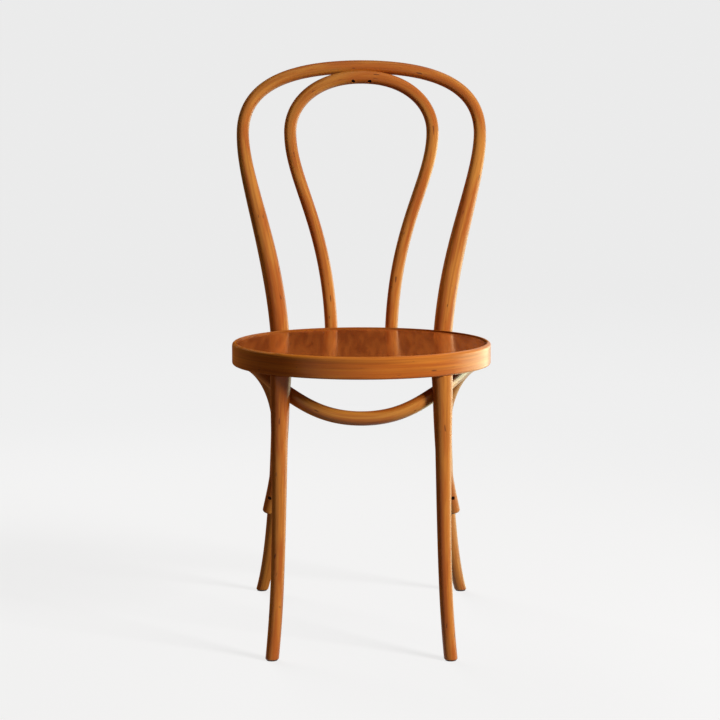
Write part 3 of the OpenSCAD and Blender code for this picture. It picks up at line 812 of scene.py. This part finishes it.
def floor_material():
    """A glow that fades into the backdrop's tone, and near the chair a faint matt share for its shadows."""
    t = Tree("floor")
    t.nodes.remove(t.shader)
    where = t.nodes.new("ShaderNodeTexCoord").outputs["Object"]
    distance = t.nodes.new("ShaderNodeVectorMath")
    distance.operation = "LENGTH"
    t.link(where, distance.inputs[0])
    near = t.spread(distance.outputs["Value"], *NEAR_FADE)
    far = t.spread(distance.outputs["Value"], *FAR_FADE)
    glow = t.nodes.new("ShaderNodeEmission")
    tone = t.mix(far, t.mix(near, grey(FLOOR_GLOW), grey(FLOOR_FAR)), grey(BACKDROP))
    t.link(tone, glow.inputs["Color"])
    t.link(shown_rays(t), glow.inputs["Strength"])
    matt = t.nodes.new("ShaderNodeBsdfDiffuse")
    t.link(t.mix(near, grey(FLOOR_MATT), grey(0.0)), matt.inputs["Color"])
    both = t.nodes.new("ShaderNodeAddShader")
    t.link(matt.outputs[0], both.inputs[0])
    t.link(glow.outputs[0], both.inputs[1])
    t.link(both.outputs[0], t.out.inputs["Surface"])
    return t.mat


def studio_floor():
    turns = [2 * math.pi * k / FLOOR_SIDES for k in range(FLOOR_SIDES)]
    rim = [(FLOOR_R * math.cos(a), FLOOR_R * math.sin(a), 0) for a in turns]
    faces = [(0, 1 + k, 1 + (k + 1) % FLOOR_SIDES) for k in range(FLOOR_SIDES)]
    mesh = bpy.data.meshes.new("floor")
    mesh.from_pydata([(0, 0, 0)] + rim, [], faces)
    mesh.materials.append(floor_material())
    floor = new_object("floor", mesh)


def studio_world():
    """The backdrop's tone for rays that show it, and a warm fill light for the others."""
    world = bpy.data.worlds.new("studio")
    world.use_nodes = True
    tree = world.node_tree
    tree.nodes.clear()
    out = tree.nodes.new("ShaderNodeOutputWorld")
    shown = tree.nodes.new("ShaderNodeBackground")
    shown.inputs["Color"].default_value = (*grey(BACKDROP), 1)
    fill = tree.nodes.new("ShaderNodeBackground")
    fill.inputs["Color"].default_value = (*FILL_COLOUR, 1)
    fill.inputs["Strength"].default_value = FILL_STRENGTH
    both = tree.nodes.new("ShaderNodeMixShader")
    tree.links.new(shown_rays(tree), both.inputs["Fac"])
    tree.links.new(fill.outputs[0], both.inputs[1])
    tree.links.new(shown.outputs[0], both.inputs[2])
    tree.links.new(both.outputs[0], out.inputs["Surface"])
    bpy.context.scene.world = world


def softbox(name, place, size, power, colour=(1, 1, 1)):
    light = bpy.data.lights.new(name, "AREA")
    light.color = colour
    light.shape, light.size, light.size_y, light.energy = "RECTANGLE", size[0], size[1], power
    obj = new_object(name, light)
    obj.location = place
    obj.rotation_euler = (Vector(AIM) - Vector(place)).to_track_quat("-Z", "Y").to_euler()
    obj.visible_camera = False
    return obj


def curved_card(name, first, last, rings, emission):
    """A card that only gloss can see, between two angles from the back: rings are distances and heights.

    It is black above the seat and glows below."""
    turns = np.radians(np.linspace(first, last, CARD_STEPS))
    m = len(rings)
    verts = [(r * math.sin(a), r * math.cos(a), z) for a in turns for r, z in rings]
    starts = [m * k + i for k in range(len(turns) - 1) for i in range(m - 1)]
    mesh = bpy.data.meshes.new(name)
    mesh.from_pydata(verts, [], [(j, j + 1, j + m + 1, j + m) for j in starts])
    t = Tree(name)
    height = t.parts(t.place())[2]
    t.set("Emission Color", t.mix(t.spread(height, *CARD_FADE), emission, grey(0.0)))
    t.set("Emission Strength", 1.0)
    t.set("Base Color", grey(CARD_BLACK))
    t.set("Roughness", 1.0)
    t.set("Specular IOR Level", 0.0)
    mesh.materials.append(t.mat)
    card = new_object(name, mesh)
    card.visible_camera = card.visible_diffuse = False
    card.visible_shadow = card.visible_transmission = False


def studio_camera():
    data = bpy.data.cameras.new("camera")
    data.lens, data.sensor_width, data.sensor_fit = LENS_MM, SENSOR_MM, "HORIZONTAL"
    camera = new_object("camera", data)
    camera.location = CAMERA_AT
    camera.rotation_euler = (math.pi / 2 - CAMERA_DOWN, 0, 0)
    bpy.context.scene.camera = camera


bpy.context.scene.view_settings.view_transform = "Standard"
studio_floor()
studio_world()

# The key and back lamps light the object and don't show in gloss, and the sheen lamp shows only there
key = softbox("key", (2.44, -1.74, 1.95), (0.95, 0.95), 122)
back = softbox("back", (-1.5, 2.6, 2.2), (2.2, 2.2), 80)
sheen = softbox("sheen", (1.905, 1.1, 0.4), (2.3, 0.8), 27, (0.93, 0.98, 0.6))
key.visible_glossy = back.visible_glossy = sheen.visible_diffuse = False

# Dark behind and to the left of the chair, and a light strip on the floor that goes on below the sheen lamp
curved_card("dark_card", 12, -130, ((0.01, 0.002), (1.6, 0.002), (1.6, 4.6)), (0.25, 0.09, 0.025))
curved_card("light_strip", 31, 89, ((0.3, 0.003), (2.0, 0.003)), (2.6, 2.7, 1.7))
studio_camera()
